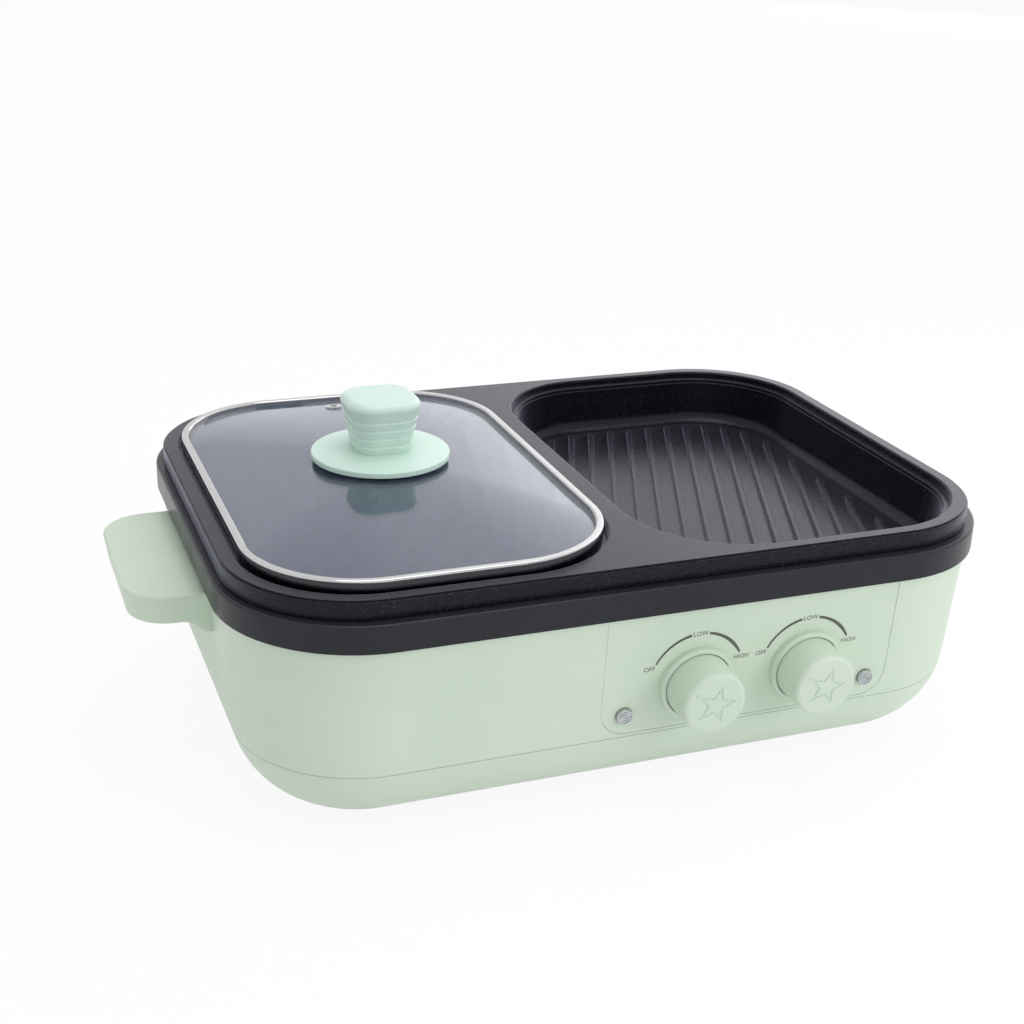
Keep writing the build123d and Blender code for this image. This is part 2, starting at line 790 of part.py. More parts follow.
# ---------------------------------------------------------------- carrying handles
for side, direction in zip(sides, (-1, 1)):
    wall_x = housing_length / 2 - (z_trim - z_gusset) * slope
    root_x = handle_x - wall_x
    foot_x = wall_x + gusset_run
    middle_x, middle_z = wall_x + gusset_run / 2, z_handle_under - gusset_drop / 2
    with BuildPart() as handle:
        # drafted outline that runs into the wall, so only its outer corners are round
        with BuildSketch(Plane.XY.offset(z_handle)):
            with Locations((direction * (handle_x - root_x), 0)):
                RectangleRounded(2 * root_x, handle_width, handle_corner)
        extrude(amount=-handle_thickness - gusset_drop, taper=handle_draft)
        # side view: a flat underside that sweeps down in an S to the wall
        with BuildSketch(Plane.XZ):
            with BuildLine():
                Polyline(
                    (direction * foot_x, z_handle_under),
                    (direction * (handle_x + handle_edge), z_handle_under),
                    (direction * (handle_x + handle_edge), z_handle + handle_edge),
                    (direction * (wall_x - 2 * handle_wall), z_handle + handle_edge),
                    (direction * (wall_x - 2 * handle_wall), z_gusset),
                    (direction * wall_x, z_gusset),
                )
                TangentArc(
                    (direction * foot_x, z_handle_under),
                    (direction * middle_x, middle_z),
                    tangent=(-direction, 0),
                )
                TangentArc(
                    (direction * wall_x, z_gusset), (direction * middle_x, middle_z), tangent=(direction, 0)
                )
            make_face()
        extrude(amount=handle_width, both=True, mode=Mode.INTERSECT)
        fillet(handle.faces().sort_by(Axis.Z)[-1].edges(), handle_edge)
        under = [face for face in handle.faces() if face.normal_at().Z < -0.3]
        border = [
            edge
            for face in under
            for edge in face.edges()
            if abs(edge.center().Y) > handle_edge or abs(edge.center().X) > foot_x + handle_edge
        ]
        fillet(border, handle_edge)
        # hollow underside
        pocket_end = handle_x - handle_thickness * tan(radians(handle_draft)) - handle_wall
        pocket_start = foot_x + handle_wall / 2
        pocket_x = pocket_end - pocket_start
        with BuildSketch(Plane.XY.offset(z_handle_under)):
            with Locations((direction * (pocket_start + pocket_end) / 2, 0)):
                RectangleRounded(
                    pocket_x, handle_width - 4 * handle_wall, min(handle_corner - handle_wall, pocket_x / 2.2)
                )
        extrude(amount=handle_thickness - handle_wall, mode=Mode.SUBTRACT)
        add(outer_tub, mode=Mode.SUBTRACT)
        with BuildSketch(Plane.YZ):
            with Locations(*handle_screw_spots):
                Circle(screw_radius + screw_room)
        extrude(amount=direction * (wall_x + handle_screw_length), mode=Mode.SUBTRACT)
    handle.part.label = side + "_handle"
    export_step(handle.part, "parts/" + side + "_handle.step")

screw_wall = housing_length / 2 - (z_trim - z_handle_screw + screw_head_radius) * slope
with BuildPart() as handle_screws:
    for direction in (-1, 1):
        head_x = screw_wall - housing_wall / cos(radians(wall_draft)) - screw_clearance
        with BuildSketch(Plane.YZ.offset(direction * head_x)):
            with Locations(*handle_screw_spots):
                Circle(screw_radius)
        extrude(amount=direction * handle_screw_length)
        with BuildSketch(Plane.YZ.offset(direction * head_x)):
            with Locations(*handle_screw_spots):
                Circle(screw_head_radius)
        extrude(amount=-direction * screw_head_height)
handle_screws.part.label = "handle_screws"
export_step(handle_screws.part, "parts/handle_screws.step")


# ---------------------------------------------------------------- heating
def shield(centre, z_shield):
    """Shallow sheet pan under an element, with holes for its screws and for the element's legs."""
    leg_x = centre + element_width / 2
    with BuildPart() as solid:
        with BuildSketch(Plane.XY.offset(z_shield - shield_thickness)):
            with Locations((centre, 0)):
                RectangleRounded(shield_width, shield_length, shield_corner)
        extrude(amount=shield_thickness + shield_wall)
        with BuildSketch(Plane.XY.offset(z_shield)):
            with Locations((centre, 0)):
                RectangleRounded(
                    shield_width - 2 * shield_thickness,
                    shield_length - 2 * shield_thickness,
                    shield_corner - shield_thickness,
                )
        extrude(amount=shield_wall, mode=Mode.SUBTRACT)
        with BuildSketch(Plane.XY.offset(z_shield)):
            with Locations(*[(centre + x, y) for x, y in boss_steps]):
                Circle(screw_radius + screw_clearance)
            with Locations((leg_x, leg_spacing / 2), (leg_x, -leg_spacing / 2)):
                Circle(bush_radius + shaft_clearance)
        extrude(amount=-shield_thickness, mode=Mode.SUBTRACT)
    return solid.part


def element(centre, z):
    """Sheathed element: a loop with a gap on its right side, where both ends turn down as legs."""
    half_x, half_y = element_width / 2, element_length / 2
    leg = leg_spacing / 2
    turn = leg + leg_bend
    with BuildPart() as solid:
        with BuildLine() as run:
            FilletPolyline(
                (centre + half_x, leg, z - leg_length),
                (centre + half_x, leg, z),
                (centre + half_x, turn + leg_bend, z),
                radius=leg_bend,
            )
            Line((centre + half_x, turn + leg_bend, z), (centre + half_x, half_y - element_corner, z))
            RadiusArc(
                (centre + half_x, half_y - element_corner, z),
                (centre + half_x - element_corner, half_y, z),
                -element_corner,
            )
            Line(
                (centre + half_x - element_corner, half_y, z), (centre - half_x + element_corner, half_y, z)
            )
            RadiusArc(
                (centre - half_x + element_corner, half_y, z),
                (centre - half_x, half_y - element_corner, z),
                -element_corner,
            )
            Line((centre - half_x, half_y - element_corner, z), (centre - half_x, 0, z))
        with BuildSketch(Plane(run.wire() @ 0, z_dir=run.wire() % 0)):
            Circle(element_radius)
        sweep(path=run.wire())
        mirror(about=Plane.XZ)
    return solid.part


def clips(centre, z, z_shield):
    """Four saddles that carry an element's long sides over its shield."""
    with BuildPart() as solid:
        with BuildSketch(Plane.XY.offset(z_shield)):
            with Locations((centre, 0)):
                with GridLocations(element_width, clip_spacing, 2, 2):
                    Rectangle(clip_width, clip_depth)
        extrude(amount=shield_drop + element_radius)
        with BuildSketch(Plane.XZ):
            with Locations((centre - element_width / 2, z), (centre + element_width / 2, z)):
                Circle(element_radius + shaft_clearance)
        extrude(amount=element_length, both=True, mode=Mode.SUBTRACT)
    return solid.part


shield_parts = [(name, shield(centre, z_shield)) for name, centre, z, z_shield in heaters]
element_parts = [(name, element(centre, z)) for name, centre, z, z_shield in heaters]
clip_parts = [clips(centre, z, z_shield) for name, centre, z, z_shield in heaters]

for name, made in shield_parts:
    made.label = name + "_heat_shield"
    export_step(made, "parts/" + name + "_heat_shield.step")
for name, made in element_parts:
    made.label = name + "_element"
    export_step(made, "parts/" + name + "_element.step")

with BuildPart() as element_clips:
    for made in clip_parts:
        add(made)
element_clips.part.label = "element_clips"
export_step(element_clips.part, "parts/element_clips.step")

with BuildPart() as element_bushes:
    for name, centre, z, z_shield in heaters:
        leg_spots = [(centre + element_width / 2, side * leg_spacing / 2) for side in (-1, 1)]
        with BuildSketch(Plane.XY.offset(z_shield)):
            with Locations(*leg_spots):
                Circle(bush_flange)
        extrude(amount=shield_drop / 4)
        with BuildSketch(Plane.XY.offset(z_shield)):
            with Locations(*leg_spots):
                Circle(bush_radius)
        extrude(amount=-bush_height)
        with BuildSketch(Plane.XY.offset(z_shield + shield_drop)):
            with Locations(*leg_spots):
                Circle(element_radius + shaft_clearance)
        extrude(amount=-shield_drop - bush_height, mode=Mode.SUBTRACT)
element_bushes.part.label = "element_bushes"
export_step(element_bushes.part, "parts/element_bushes.step")

with BuildPart() as shield_screws:
    for name, centre, z, z_shield in heaters:
        with BuildSketch(Plane.XY.offset(z_shield)):
            with Locations(*[(centre + x, y) for x, y in boss_steps]):
                Circle(screw_radius)
        extrude(amount=-2 * cover_screw_bite)
        with BuildSketch(Plane.XY.offset(z_shield)):
            with Locations(*[(centre + x, y) for x, y in boss_steps]):
                Circle(screw_head_radius)
        extrude(amount=screw_head_height)
shield_screws.part.label = "shield_screws"
export_step(shield_screws.part, "parts/shield_screws.step")

with BuildPart() as thermal_cutoffs:
    for name, centre, z, z_shield in heaters:
        with BuildSketch(Plane.XZ.offset(-cutoff_length / 2)):
            with Locations((centre, z_shield + cutoff_radius)):
                Circle(cutoff_radius)
        extrude(amount=cutoff_length)
thermal_cutoffs.part.label = "thermal_cutoffs"
export_step(thermal_cutoffs.part, "parts/thermal_cutoffs.step")

# ---------------------------------------------------------------- mains
z_block = z_base + 2 * housing_wall
with BuildPart() as terminal_block:
    with BuildSketch(Plane.XY.offset(z_block)):
        with Locations((grill_x, block_y)):
            Rectangle(block_length, block_width)
    extrude(amount=block_height)
    with BuildSketch(Plane.XY.offset(z_block + block_height)):
        with Locations((grill_x, block_y)):
            with GridLocations(block_length / 3, block_width / 2, 3, 2):
                Circle(screw_head_radius)
    extrude(amount=-block_height / 2, mode=Mode.SUBTRACT)
terminal_block.part.label = "terminal_block"
export_step(terminal_block.part, "parts/terminal_block.step")

inlet_plane = back_plane(inlet_x, z_base + inlet_height)
pin_places = [(0, pin_pitch / 2), (-pin_pitch, -pin_pitch / 2), (pin_pitch, -pin_pitch / 2)]
with BuildPart() as power_inlet:
    with BuildSketch(inlet_plane):
        RectangleRounded(inlet_width + 2 * inlet_flange, inlet_tall + 2 * inlet_flange, inlet_corner)
    extrude(amount=inlet_flange_thickness)
    with BuildSketch(inlet_plane):
        RectangleRounded(inlet_width, inlet_tall, inlet_corner)
    extrude(amount=-inlet_depth)
    with BuildSketch(inlet_plane.offset(inlet_flange_thickness)):
        RectangleRounded(inlet_width - 2 * inlet_wall, inlet_tall - 2 * inlet_wall, inlet_corner - inlet_wall)
    extrude(amount=-inlet_flange_thickness - inlet_depth + inlet_wall, mode=Mode.SUBTRACT)
    with BuildSketch(inlet_plane.offset(-inlet_depth)):
        with Locations(*pin_places):
            Circle(pin_radius)
    extrude(amount=inlet_wall, mode=Mode.SUBTRACT)
power_inlet.part.label = "power_inlet"
export_step(power_inlet.part, "parts/power_inlet.step")

with BuildPart() as inlet_pins:
    with BuildSketch(inlet_plane.offset(-inlet_depth - pin_tail)):
        with Locations(*pin_places):
            Circle(pin_radius - shaft_clearance)
    extrude(amount=pin_tail + pin_length)
    fillet(inlet_pins.faces().filter_by(GeomType.PLANE).sort_by(Axis.Y)[-3:].edges(), pin_radius / 3)
inlet_pins.part.label = "inlet_pins"
export_step(inlet_pins.part, "parts/inlet_pins.step")

# ---------------------------------------------------------------- cooking tray
def basin_wall(centre, z_bottom):
    """Outside of a basin: its drafted cup and the collar under its ledge."""
    cup = basin(centre, z_bottom, tray_wall, z_ledge)
    with BuildPart() as solid:
        add(cup)
        with BuildSketch(Plane.XY.offset(z_tray_top)):
            with Locations((centre, 0)):
                RectangleRounded(
                    basin_x + 2 * tray_collar, basin_y + 2 * tray_collar, basin_corner + tray_collar
                )
        extrude(amount=-tray_rim_height - tray_gap + tray_clearance / 2)
    return solid.part


def basin_room(centre, z_bottom):
    """Inside of a basin with the ledge and the small step under its edge."""
    cup = basin(centre, z_bottom, 0, z_ledge)
    with BuildPart() as solid:
        add(cup)
        for inset, low in ((0, z_ledge), (ledge_width, z_ledge - step_height)):
            with BuildSketch(Plane.XY.offset(z_tray_top)):
                with Locations((centre, 0)):
                    RectangleRounded(basin_x - 2 * inset, basin_y - 2 * inset, basin_corner - inset)
            extrude(amount=low - z_tray_top)
        shelves = [face for face in solid.faces().filter_by(Plane.XY) if face.inner_wires()]
        fillet([edge for face in shelves for wire in face.inner_wires() for edge in wire.edges()], ledge_round)
    return solid.part


def rib_run(offset, half_x, half_y, corner):
    """Ends of a rib's middle line inside a rounded rectangle round the origin, or nothing."""
    across = (cos(radians(rib_angle)), -sin(radians(rib_angle)))
    along = (sin(radians(rib_angle)), cos(radians(rib_angle)))

    def depth(reach):
        x = abs(across[0] * offset + along[0] * reach) - half_x + corner
        y = abs(across[1] * offset + along[1] * reach) - half_y + corner
        return corner - sqrt(max(x, 0) ** 2 + max(y, 0) ** 2) - min(max(x, y), 0)

    start = max(range(-130, 131, 2), key=depth)
    if depth(start) < rib_width:
        return []
    ends = []
    for direction in (-1, 1):
        low, high = 0.0, 2 * half_y
        for halving in range(40):
            middle = (low + high) / 2
            low, high = (middle, high) if depth(start + direction * middle) > 0 else (low, middle)
        reach = start + direction * low
        ends.append((across[0] * offset + along[0] * reach, across[1] * offset + along[1] * reach))
    return ends


def ribs():
    """Slanting grill ribs with round ends and drafted sides, inside the flat floor less a margin."""
    inset = floor_inset(grill_depth) + rib_margin + rib_width / 2
    half_x, half_y = basin_x / 2 - inset, basin_y / 2 - inset
    with BuildPart() as solid:
        with BuildSketch(Plane.XY.offset(z_tray_top - grill_depth - tray_floor / 2)):
            for number in range(-rib_count, rib_count + 1):
                # offsets are measured from the middle of the grill basin
                run = rib_run(rib_start + number * rib_pitch, half_x, half_y, basin_corner - inset)
                if run and dist(run[0], run[1]) > rib_width:
                    middle = ((run[0][0] + run[1][0]) / 2 + grill_x, (run[0][1] + run[1][1]) / 2)
                    SlotCenterPoint(
                        center=middle, point=(run[1][0] + grill_x, run[1][1]), height=rib_width
                    )
        extrude(amount=rib_height + tray_floor / 2, taper=rib_draft)
        fillet(solid.faces().group_by(Axis.Z)[-1].edges(), rib_round)
    return solid.part


pot_wall = basin_wall(pot_x, z_pot_under)
grill_wall = basin_wall(grill_x, z_grill_under)
pot_room = basin_room(pot_x, z_tray_top - pot_depth)
grill_room = basin_room(grill_x, z_tray_top - grill_depth)
grill_ribs = ribs()

with BuildPart() as cooking_tray:
    with BuildSketch(Plane.XY.offset(z_tray_top)):
        RectangleRounded(
            tray_length - 2 * tray_bead_width,
            tray_width - 2 * tray_bead_width,
            tray_corner - tray_bead_width,
        )
    extrude(amount=-tray_rim_height)
    fillet(cooking_tray.faces().sort_by(Axis.Z)[-1].edges(), tray_edge_radius)
    # outer border of the rim, a little lower than the deck
    with BuildSketch(Plane.XY.offset(z_tray_top - tray_bead_drop)):
        RectangleRounded(tray_length, tray_width, tray_corner)
    extrude(amount=tray_bead_drop - tray_rim_height)
    lower = cooking_tray.faces().filter_by(Plane.XY).sort_by(Axis.Z)[-2]
    fillet(lower.outer_wire().edges(), tray_edge_radius)
    # seat on the trim ring, set back so that a dark line stays under the rim
    with BuildSketch(Plane.XY.offset(z_rim_under)):
        RectangleRounded(
            tray_length - 2 * tray_gap_depth, tray_width - 2 * tray_gap_depth, tray_corner - tray_gap_depth
        )
    extrude(amount=-tray_gap)
    with BuildSketch(Plane.XY.offset(z_trim_top)):
        RectangleRounded(
            tray_length - 2 * tray_skirt, tray_width - 2 * tray_skirt, tray_corner - tray_skirt
        )
    extrude(amount=tray_rim_height + tray_gap - tray_deck, mode=Mode.SUBTRACT)
    add(pot_wall)
    add(grill_wall)
    add(pot_room, mode=Mode.SUBTRACT)
    add(grill_room, mode=Mode.SUBTRACT)
    add(grill_ribs)
    deck = cooking_tray.faces().filter_by(Plane.XY).sort_by(Axis.Z)[-1]
    fillet(deck.inner_wires().edges(), basin_edge_radius)
cooking_tray.part.label = "cooking_tray"
export_step(cooking_tray.part, "parts/cooking_tray.step")

# ---------------------------------------------------------------- lid
with BuildPart() as lid_rim:
    with BuildSketch(Plane.XY.offset(z_ledge)):
        with Locations((pot_x, 0)):
            RectangleRounded(lid_x, lid_y, lid_corner)
            RectangleRounded(
                lid_x - 2 * rim_width, lid_y - 2 * rim_width, lid_corner - rim_width, mode=Mode.SUBTRACT
            )
    extrude(amount=rim_height)
    fillet(lid_rim.faces().sort_by(Axis.Z)[-1].edges(), rim_round)
    with BuildSketch(Plane.XY.offset(z_glass)):
        with Locations((pot_x, 0)):
            RectangleRounded(lid_x - 2 * rim_skin, lid_y - 2 * rim_skin, lid_corner - rim_skin)
    extrude(amount=-glass_thickness, mode=Mode.SUBTRACT)
lid_rim.part.label = "lid_rim"
export_step(lid_rim.part, "parts/lid_rim.step")


def dome(z):
    """Body under the glass's domed surface, with its edge at the level z."""
    half_x = lid_x / 2 - rim_width - lid_gap / 4
    half_y = lid_y / 2 - rim_width - lid_gap / 4
    corner = lid_corner - rim_width - lid_gap / 4
    with BuildPart() as solid:
        for share, rise in dome_profile:
            with BuildSketch(Plane.XY.offset(z + dome_rise * rise)):
                with Locations((pot_x, 0)):
                    RectangleRounded(2 * half_x * share, 2 * half_y * share, corner * share)
        loft()
        # flat seat for the gasket
        split(bisect_by=Plane.XY.offset(z + dome_rise), keep=Keep.BOTTOM)
    return solid.part


vent_y = (lid_y / 2 - rim_width - lid_gap / 4) * dome_profile[2][0]
vent_run = (dome_profile[1][0] - dome_profile[3][0]) * vent_y / dome_profile[2][0]
vent_tilt = atan2((dome_profile[3][1] - dome_profile[1][1]) * dome_rise, vent_run)
vent_plane = Plane(
    (pot_x + vent_shift, vent_y, z_glass + dome_rise * dome_profile[2][1]),
    x_dir=(1, 0, 0),
    z_dir=(0, sin(vent_tilt), cos(vent_tilt)),
)
dome_top = dome(z_glass)
dome_under = dome(z_glass - glass_thickness)

with BuildPart() as lid_glass:
    with BuildSketch(Plane.XY.offset(z_glass)):
        with Locations((pot_x, 0)):
            RectangleRounded(
                lid_x - 2 * rim_skin - 2 * glass_room,
                lid_y - 2 * rim_skin - 2 * glass_room,
                lid_corner - rim_skin - glass_room,
            )
    extrude(amount=-glass_thickness)
    add(dome_top)
    add(dome_under, mode=Mode.SUBTRACT)
    with BuildSketch(vent_plane):
        Circle(vent_radius + grommet_wall + glass_room)
    extrude(amount=2 * glass_thickness, both=True, mode=Mode.SUBTRACT)
    with BuildSketch(Plane.XY.offset(z_glass)):
        with Locations((pot_x, 0)):
            Circle(lid_screw_radius + screw_clearance)
    extrude(amount=2 * dome_rise, mode=Mode.SUBTRACT)
lid_glass.part.label = "lid_glass"
export_step(lid_glass.part, "parts/lid_glass.step")

with BuildPart() as vent_grommet:
    with BuildSketch(vent_plane.offset(grommet_room)):
        Circle(grommet_flange)
    extrude(amount=grommet_lip)
    with BuildSketch(vent_plane.offset(grommet_room)):
        Circle(vent_radius + grommet_wall)
    extrude(amount=-glass_thickness - 3 * grommet_room)
    with BuildSketch(vent_plane.offset(-glass_thickness - 2 * grommet_room)):
        Circle(grommet_flange)
    extrude(amount=-grommet_lip)
    with BuildSketch(vent_plane):
        Circle(vent_radius)
    extrude(amount=2 * glass_thickness, both=True, mode=Mode.SUBTRACT)
vent_grommet.part.label = "vent_grommet"
export_step(vent_grommet.part, "parts/vent_grommet.step")

with BuildPart() as lid_gasket:
    with BuildSketch(Plane.XY.offset(z_glass_top)):
        with Locations((pot_x, 0)):
            Circle(gasket_radius)
            Circle(lid_screw_radius + screw_clearance, mode=Mode.SUBTRACT)
    extrude(amount=gasket_thickness)
lid_gasket.part.label = "lid_gasket"
export_step(lid_gasket.part, "parts/lid_gasket.step")

# crowned disc with a flat seat for the knob
z_disc_edge = z_gasket + disc_thickness
with BuildPart() as knob_disc:
    with BuildSketch(Plane.XZ) as profile:
        with BuildLine():
            Polyline(
                (pot_x + disc_seat, z_disc),
                (pot_x, z_disc),
                (pot_x, z_gasket),
                (pot_x + disc_radius, z_gasket),
                (pot_x + disc_radius, z_disc_edge),
            )
            TangentArc((pot_x + disc_seat, z_disc), (pot_x + disc_radius, z_disc_edge), tangent=(1, 0))
        make_face()
        fillet(profile.vertices().sort_by(Axis.X)[-2:].sort_by(Axis.Y)[-1], disc_round)
    revolve(axis=Axis((pot_x, 0, 0), (0, 0, 1)))
    with BuildSketch(Plane.XY.offset(z_gasket)):
        with Locations((pot_x, 0)):
            Circle(lid_screw_radius + screw_clearance)
    extrude(amount=disc_thickness + disc_crown, mode=Mode.SUBTRACT)
knob_disc.part.label = "knob_disc"
export_step(knob_disc.part, "parts/knob_disc.step")


def grown_block(z_low, z_high, low, high, rounding):
    """Square block with round corners, its side growing from low to high up to its rounded top edge."""
    with BuildPart() as solid:
        for z, side_length in ((z_low, low), (z_high - rounding, high)):
            with BuildSketch(Plane.XY.offset(z)):
                with Locations((pot_x, 0)):
                    RectangleRounded(side_length, side_length, knob_corner * side_length / knob_foot)
        loft()
        extrude(solid.faces().sort_by(Axis.Z)[-1], amount=rounding)
        fillet(solid.faces().sort_by(Axis.Z)[-1].edges(), 0.95 * rounding)
    return solid.part


blocks = []
for number in range(knob_bands):
    band_foot = knob_foot + number * knob_growth
    z_band = z_disc + number * knob_band
    band_top = band_foot + knob_growth + 2 * knob_ledge
    blocks.append(grown_block(z_band, z_band + knob_band, band_foot, band_top, knob_lip))
knob_neck = knob_foot + knob_bands * knob_growth
blocks.append(grown_block(z_neck, z_knob, knob_neck, knob_cap, knob_cap_round))

with BuildPart() as lid_knob:
    for block in blocks:
        add(block)
    with BuildSketch(Plane.XY.offset(z_disc)):
        with Locations((pot_x, 0)):
            Circle(lid_screw_radius + screw_room)
    extrude(amount=lid_screw_depth + 1, mode=Mode.SUBTRACT)
lid_knob.part.label = "lid_knob"
export_step(lid_knob.part, "parts/lid_knob.step")

z_washer = z_glass_top - glass_thickness
with BuildPart() as lid_washer:
    with BuildSketch(Plane.XY.offset(z_washer)):
        with Locations((pot_x, 0)):
            Circle(lid_washer_radius)
            Circle(lid_screw_radius + screw_room, mode=Mode.SUBTRACT)
    extrude(amount=-lid_washer_thickness)
lid_washer.part.label = "lid_washer"
export_step(lid_washer.part, "parts/lid_washer.step")

with BuildPart() as lid_screw:
    with BuildSketch(Plane.XY.offset(z_washer - lid_washer_thickness)):
        with Locations((pot_x, 0)):
            Circle(lid_screw_radius)
    extrude(amount=z_disc + lid_screw_depth - z_washer + lid_washer_thickness)
    with BuildSketch(Plane.XY.offset(z_washer - lid_washer_thickness)):
        with Locations((pot_x, 0)):
            Circle(lid_screw_head)
    extrude(amount=-lid_screw_radius)
    fillet(lid_screw.faces().sort_by(Axis.Z)[0].edges(), lid_screw_radius / 2)
lid_screw.part.label = "lid_screw"
export_step(lid_screw.part, "parts/lid_screw.step")

# ---------------------------------------------------------------- wiring
inward = Vector(0, cos(radians(wall_draft)), sin(radians(wall_draft)))
tab_depth = panel_back + thermostat_depth + tab_length + wire_gap
dial_level = z_base + dial_height
well_z = z_block + block_height / 2
row_y = block_width / 4
column = block_length / 3
grill_leg = (grill_x + element_width / 2, leg_spacing / 2, z_grill_element - leg_length)
pot_leg = (pot_x + element_width / 2, leg_spacing / 2, z_pot_element - leg_length)
left_tab = Vector(dial_places[0], -wall_y(dial_level), dial_level) + inward * tab_depth
right_tab = Vector(dial_places[1], -wall_y(dial_level), dial_level) + inward * tab_depth
tab_half = tab_spacing / 2
run_y = left_tab.Y + 2.4 * wire_bend
low_z = z_base + 2.2 * housing_wall + wire_bend
mid_z = low_z + wire_rise
high_z = grill_leg[2] - 2 * wire_bend

runs = []
for (across, up), shift in zip(pin_places, (0, 1, -1)):
    start = inlet_plane.from_local_coords((across, up, -inlet_depth - pin_tail - wire_gap))
    runs.append(
        [
            (start.X, start.Y, start.Z),
            (start.X, start.Y - 2.4 * wire_bend, start.Z),
            (start.X, start.Y - 2.4 * wire_bend, mid_z + 2 * wire_bend),
            (grill_x + shift * column, block_y + row_y, mid_z + 2 * wire_bend),
            (grill_x + shift * column, block_y + row_y, well_z),
        ]
    )
runs.append(
    [
        (grill_x - column, block_y - row_y, well_z),
        (grill_x - column, block_y - row_y, mid_z),
        (grill_x - column, run_y, mid_z),
        (right_tab.X + tab_half, run_y, right_tab.Z),
        (right_tab.X + tab_half, right_tab.Y, right_tab.Z),
    ]
)
runs.append(
    [
        (grill_x, block_y - row_y, well_z),
        (grill_x, block_y - row_y, mid_z + wire_bend),
        (grill_x, block_y - 6 * wire_bend, mid_z + wire_bend),
        (left_tab.X + tab_half, block_y - 6 * wire_bend, mid_z + wire_bend),
        (left_tab.X + tab_half, run_y, mid_z + wire_bend),
        (left_tab.X + tab_half, run_y, left_tab.Z),
        (left_tab.X + tab_half, left_tab.Y, left_tab.Z),
    ]
)
runs.append(
    [
        (left_tab.X - tab_half, left_tab.Y, left_tab.Z),
        (left_tab.X - tab_half, run_y, left_tab.Z),
        (left_tab.X - tab_half, run_y, low_z),
        (left_tab.X - tab_half, -pot_leg[1], low_z),
        (pot_leg[0], -pot_leg[1], low_z),
        (pot_leg[0], -pot_leg[1], pot_leg[2]),
    ]
)
runs.append(
    [
        (right_tab.X - tab_half, right_tab.Y, right_tab.Z),
        (right_tab.X - tab_half, run_y, right_tab.Z),
        (right_tab.X - tab_half, run_y, high_z),
        (right_tab.X - tab_half, -grill_leg[1], high_z),
        (grill_leg[0], -grill_leg[1], high_z),
        (grill_leg[0], -grill_leg[1], grill_leg[2]),
    ]
)
runs.append(
    [
        (grill_x + column, block_y - row_y, well_z),
        (grill_x + column, block_y - row_y, high_z - 2 * wire_bend),
        (grill_leg[0], block_y - row_y, high_z - 2 * wire_bend),
        (grill_leg[0], grill_leg[1], high_z - 2 * wire_bend),
        grill_leg,
    ]
)
runs.append(
    [
        (grill_x - block_length / 2, block_y - row_y, low_z),
        (pot_leg[0], block_y - row_y, low_z),
        (pot_leg[0], pot_leg[1], low_z),
        pot_leg,
    ]
)

with BuildPart() as wiring:
    for points in runs:
        with BuildLine() as path:
            FilletPolyline(*points, radius=wire_bend)
        with BuildSketch(Plane(path.wire() @ 0, z_dir=path.wire() % 0)):
            Circle(wire_radius)
        sweep(path=path.wire())
wiring.part.label = "wiring"
export_step(wiring.part, "parts/wiring.step")
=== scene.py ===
"""Looks of the electric hot pot and grill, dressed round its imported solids. Metres, +Z up."""

import bpy
import numpy as np
from mathutils import Matrix


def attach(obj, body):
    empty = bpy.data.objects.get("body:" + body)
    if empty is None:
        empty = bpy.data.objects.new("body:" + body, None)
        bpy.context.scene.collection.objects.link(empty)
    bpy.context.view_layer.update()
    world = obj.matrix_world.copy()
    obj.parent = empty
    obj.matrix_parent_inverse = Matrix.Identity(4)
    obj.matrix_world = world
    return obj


MM = 0.001

# ------------------------------------------------ sizes shared with the solids, in millimetres
TRIM_UNDER = 113.0
TRIM_FRONT = 152.5
WALL_AT_TRIM = 149.5
WALL_DRAFT = np.radians(3.8)
PANEL_RECESS = 0.15
DIAL_CENTRES = (20.4, 83.0)
DIAL_LEVEL = 69.5

# print on the panel, in millimetres
PRINT_RISE = 2.0  # print's middle over the dial's middle
PRINT_LIFT = 0.06
ARC_RADIUS = 26.0
ARC_POINTS = 40
LETTER_HEIGHT = 2.6
CAPITAL_SHARE = 0.72  # a capital letter's height over its font's size

# the trim ring's parting line, in millimetres
PARTING_X = -8.0
PARTING_HALF_WIDTH = 0.5
PARTING_DEPTH = 0.3

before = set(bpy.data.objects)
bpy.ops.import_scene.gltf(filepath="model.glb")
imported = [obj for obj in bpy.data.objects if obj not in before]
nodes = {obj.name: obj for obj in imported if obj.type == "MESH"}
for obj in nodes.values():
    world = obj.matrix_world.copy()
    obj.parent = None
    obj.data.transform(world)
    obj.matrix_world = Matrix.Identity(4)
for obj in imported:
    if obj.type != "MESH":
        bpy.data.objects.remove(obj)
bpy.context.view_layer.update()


# ---------------------------------------------------------------- colours and materials
def linear(red, green, blue):
    """Screen colour 0-255 to the linear values that a shader takes."""
    c = np.array([red, green, blue]) / 255.0
    c = np.where(c <= 0.04045, c / 12.92, ((c + 0.055) / 1.055) ** 2.4)
    return (float(c[0]), float(c[1]), float(c[2]), 1.0)


